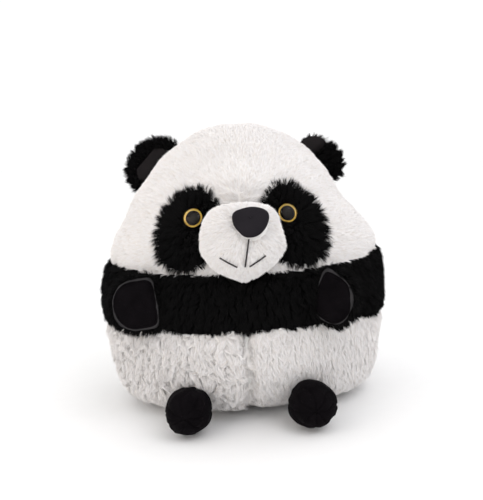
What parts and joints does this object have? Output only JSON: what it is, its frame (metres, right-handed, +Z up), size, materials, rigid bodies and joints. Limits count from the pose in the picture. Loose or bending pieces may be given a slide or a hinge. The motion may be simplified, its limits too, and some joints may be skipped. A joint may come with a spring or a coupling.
{
  "type": "plush panda",
  "caption": "Round plush panda that sits on a flat base, with soft ears, arms and feet that flex on their seams.",
  "frame": {"origin": "centre of the flat seat", "axes": "+Z up, the panda faces -Y, its own left side is +X"},
  "size_m": [0.306, 0.3276, 0.296],
  "materials": {
    "white_pile": "long soft white pile",
    "black_pile": "long soft black pile",
    "smooth_black": "short smooth charcoal nap",
    "fibre": "white fibre filling",
    "eye_lens": "clear gloss",
    "eye_gold": "golden gloss",
    "eye_dark": "dark brown gloss",
    "washer": "plain moulded",
    "thread": "twisted thread"
  },
  "bodies": {
    "body": {"band_back": "black_pile", "band_front": "black_pile", "base_panel": "white_pile", "body_stuffing": "fibre", "eye_left_iris": "eye_gold", "eye_left_lens": "eye_lens", "eye_left_pupil_post": "eye_dark", "eye_left_washer": "washer", "eye_patch_left": "black_pile", "eye_patch_right": "black_pile", "eye_right_iris": "eye_gold", "eye_right_lens": "eye_lens", "eye_right_pupil_post": "eye_dark", "eye_right_washer": "washer", "head_back_left": "white_pile", "head_back_right": "white_pile", "head_front_left": "white_pile", "head_front_right": "white_pile", "lower_back_left": "white_pile", "lower_back_right": "white_pile", "lower_front_left": "white_pile", "lower_front_right": "white_pile", "mouth_thread_centre": "thread", "mouth_thread_left": "thread", "mouth_thread_right": "thread", "muzzle_panel": "white_pile", "nose_pad": "smooth_black"},
    "arm_left": {"arm_left_back": "black_pile", "arm_left_palm": "smooth_black", "arm_left_stuffing": "fibre"},
    "arm_right": {"arm_right_back": "black_pile", "arm_right_palm": "smooth_black", "arm_right_stuffing": "fibre"},
    "ear_left": {"ear_left_back": "black_pile", "ear_left_lining": "smooth_black"},
    "ear_right": {"ear_right_back": "black_pile", "ear_right_lining": "smooth_black"},
    "foot_left": {"foot_left_sole": "smooth_black", "foot_left_stuffing": "fibre", "foot_left_upper": "smooth_black"},
    "foot_right": {"foot_right_sole": "smooth_black", "foot_right_stuffing": "fibre", "foot_right_upper": "smooth_black"}
  },
  "joints": [
    {"name": "ear_left_flex", "type": "hinge", "parent": "body", "child": "ear_left", "pos_m": [0.09184, 0.006, 0.251], "axis": [0.6947, 0, -0.7193], "range_deg": [-22, 22], "stiffness_Nm_per_rad": 0.02},
    {"name": "arm_left_swing", "type": "hinge", "parent": "body", "child": "arm_left", "pos_m": [0.0717, -0.12935, 0.137], "axis": [0.3377, -0.3261, 0.8829], "range_deg": [-28, 14], "stiffness_Nm_per_rad": 0.02},
    {"name": "foot_left_flex", "type": "hinge", "parent": "body", "child": "foot_left", "pos_m": [0.0545, -0.10902, 0.032], "axis": [0.9786, 0.2055, 0], "range_deg": [-16, 8], "stiffness_Nm_per_rad": 0.05},
    {"name": "ear_right_flex", "type": "hinge", "parent": "body", "child": "ear_right", "pos_m": [-0.09184, 0.006, 0.251], "axis": [0.6947, 0, 0.7193], "range_deg": [-22, 22], "stiffness_Nm_per_rad": 0.02},
    {"name": "arm_right_swing", "type": "hinge", "parent": "body", "child": "arm_right", "pos_m": [-0.0846, -0.12283, 0.131], "axis": [-0.0867, -0.0091, 0.9962], "range_deg": [-14, 28], "stiffness_Nm_per_rad": 0.02},
    {"name": "foot_right_flex", "type": "hinge", "parent": "body", "child": "foot_right", "pos_m": [-0.0545, -0.10902, 0.032], "axis": [0.9786, -0.2055, 0], "range_deg": [-16, 8], "stiffness_Nm_per_rad": 0.05}
  ]
}
